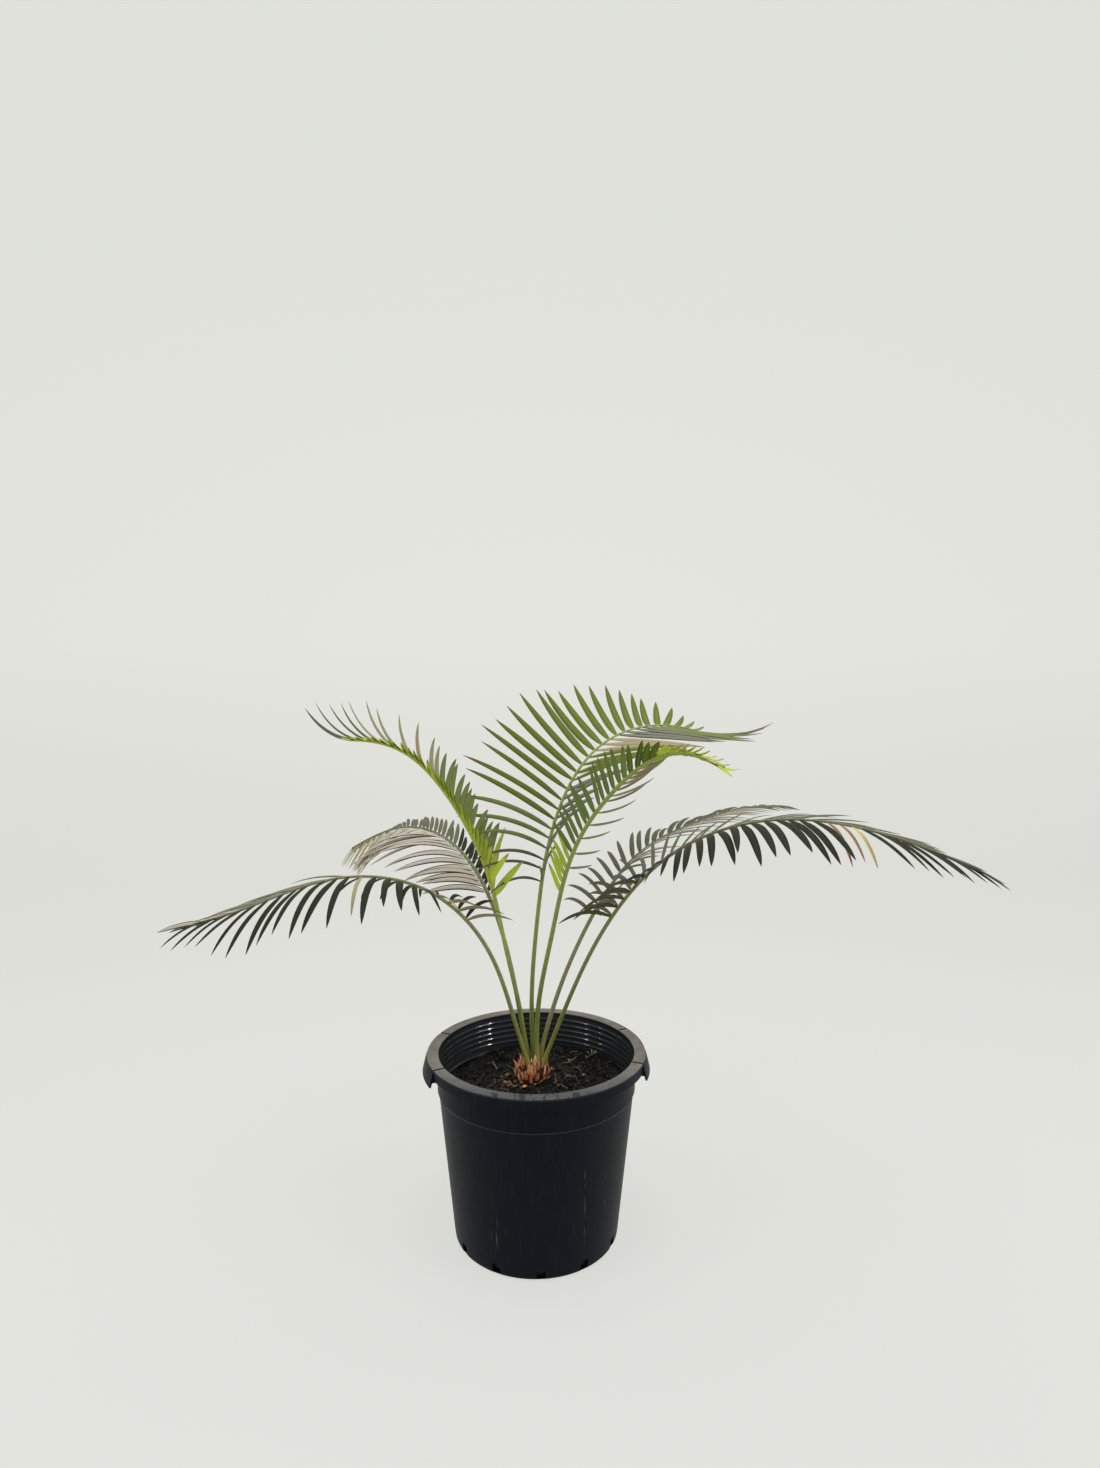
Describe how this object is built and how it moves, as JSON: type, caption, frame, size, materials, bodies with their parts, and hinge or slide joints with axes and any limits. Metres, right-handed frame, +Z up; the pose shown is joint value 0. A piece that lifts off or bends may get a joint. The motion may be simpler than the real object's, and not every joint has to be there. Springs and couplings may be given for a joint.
{
  "type": "potted cycas edentata",
  "caption": "Potted cycad: arching feather-shaped fronds with narrow leaflets rise from a small scaly crown in a squat dark nursery pot of soil.",
  "frame": {"origin": "middle of the pot's flat underside, on the ground", "axes": "+Z up, +X to the right and +Y away from someone in front of the pot; the fronds reach furthest along X"},
  "size_m": [1.0201, 0.5994, 0.7598],
  "materials": {
    "pot": "black moulded polypropylene, scuffed, dusty on the rim",
    "soil": "dark moist potting mix of bark and fibre",
    "crown": "dry papery scales, woolly at the base",
    "stalk": "waxy green to olive stalk",
    "old_leaf": "dark green leathery leaflets, paler where they catch the light",
    "young_leaf": "fresh yellow-green leaflets"
  },
  "bodies": {
    "root": {"pot": "pot", "soil": "soil", "crown": "crown", "left_frond_stalk": "stalk", "left_frond_lower_blade": "old_leaf", "left_frond_upper_blade": "old_leaf", "right_frond_stalk": "stalk", "right_frond_lower_blade": "old_leaf", "right_frond_upper_blade": "old_leaf", "back_right_frond_stalk": "stalk", "back_right_frond_lower_blade": "old_leaf", "back_right_frond_upper_blade": "old_leaf", "back_left_frond_stalk": "stalk", "back_left_frond_lower_blade": "old_leaf", "back_left_frond_upper_blade": "old_leaf", "young_back_frond_stalk": "stalk", "young_back_frond_lower_blade": "young_leaf", "young_back_frond_upper_blade": "young_leaf", "young_left_frond_stalk": "stalk", "young_left_frond_lower_blade": "young_leaf", "young_left_frond_upper_blade": "young_leaf", "young_front_frond_stalk": "stalk", "young_front_frond_lower_blade": "young_leaf", "young_front_frond_upper_blade": "young_leaf"}
  },
  "joints": []
}
